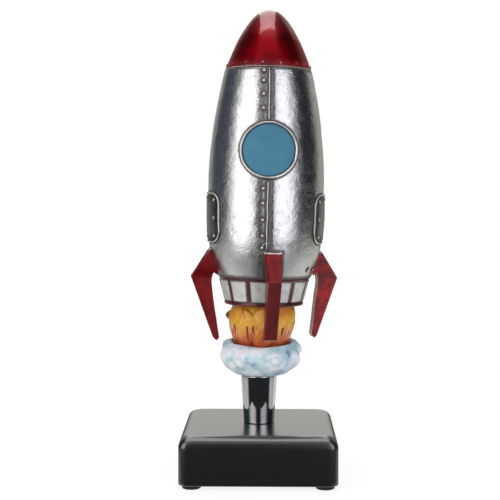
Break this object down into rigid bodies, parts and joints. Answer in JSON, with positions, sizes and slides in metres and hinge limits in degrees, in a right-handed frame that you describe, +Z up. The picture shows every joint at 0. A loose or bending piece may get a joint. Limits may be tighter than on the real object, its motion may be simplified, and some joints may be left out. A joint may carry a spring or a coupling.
{
  "type": "tin space rocket figure",
  "caption": "Retro riveted space rocket figure with a red nose and bent fins, on its exhaust flame, a tapered metal column and a square block.",
  "frame": {"origin": "on the surface it stands on, under the middle of the object's bounding box (and of the square block, within half a millimetre)", "axes": "+Z up; -Y is the front, the side with the porthole; +X is to the right of someone facing the porthole; the rocket leans 1.13 degrees towards +X, as in the picture"},
  "size_m": [0.0809, 0.08, 0.2437],
  "materials": {
    "black_block": "painted satin black, fine open grain, soft rounded edges",
    "rubber_feet": "matte black",
    "steel_hardware": "plain machined",
    "chrome_column": "mirror polished",
    "smoke_paint": "white with pale blue washes, lumpy",
    "flame_paint": "yellow orange above, orange red below, brown cut grooves",
    "dark_red_enamel": "worn dark red enamel",
    "pale_silver_panels": "pale silver paint with dark antique wash",
    "red_enamel": "candy red gloss over metal, darker at the edges",
    "silver_hull": "polished silver leaf look with dark antique wash and small dents",
    "bright_silver_trim": "bright rubbed silver, dark in the crevices",
    "blue_pane": "flat opaque blue, low gloss"
  },
  "bodies": {
    "stand": {"base_block": "black_block", "foot_front_left": "rubber_feet", "foot_front_right": "rubber_feet", "foot_rear_left": "rubber_feet", "foot_rear_right": "rubber_feet", "tie_rod": "steel_hardware", "base_washer": "steel_hardware", "base_nut": "steel_hardware", "top_washer": "steel_hardware", "top_nut": "steel_hardware", "column": "chrome_column"},
    "rocket": {"smoke_ring": "smoke_paint", "flame": "flame_paint", "skirt_core": "dark_red_enamel", "skirt_panel_01": "pale_silver_panels", "skirt_panel_02": "pale_silver_panels", "skirt_panel_03": "pale_silver_panels", "skirt_panel_04": "pale_silver_panels", "skirt_panel_05": "pale_silver_panels", "skirt_panel_06": "pale_silver_panels", "skirt_panel_07": "pale_silver_panels", "skirt_panel_08": "pale_silver_panels", "skirt_panel_09": "pale_silver_panels", "skirt_panel_10": "pale_silver_panels", "skirt_panel_11": "pale_silver_panels", "skirt_panel_12": "pale_silver_panels", "fin_front": "red_enamel", "fin_right": "red_enamel", "fin_rear": "red_enamel", "fin_left": "red_enamel", "hull_left_shell": "silver_hull", "hull_right_shell": "silver_hull", "front_upper_seam_strip": "bright_silver_trim", "front_lower_seam_strip": "bright_silver_trim", "rear_seam_strip": "bright_silver_trim", "nose_cone": "red_enamel", "nose_collar": "red_enamel", "porthole_bezel": "bright_silver_trim", "porthole_pane": "blue_pane", "hatch_left": "silver_hull", "hatch_right": "silver_hull", "tail_bolt_inner": "bright_silver_trim", "tail_bolt_outer": "bright_silver_trim"}
  },
  "joints": [
    {"name": "rocket_swivel", "type": "hinge", "parent": "stand", "child": "rocket", "pos_m": [0, 0, 0.0523], "axis": [0, 0, 1], "continuous": true}
  ]
}
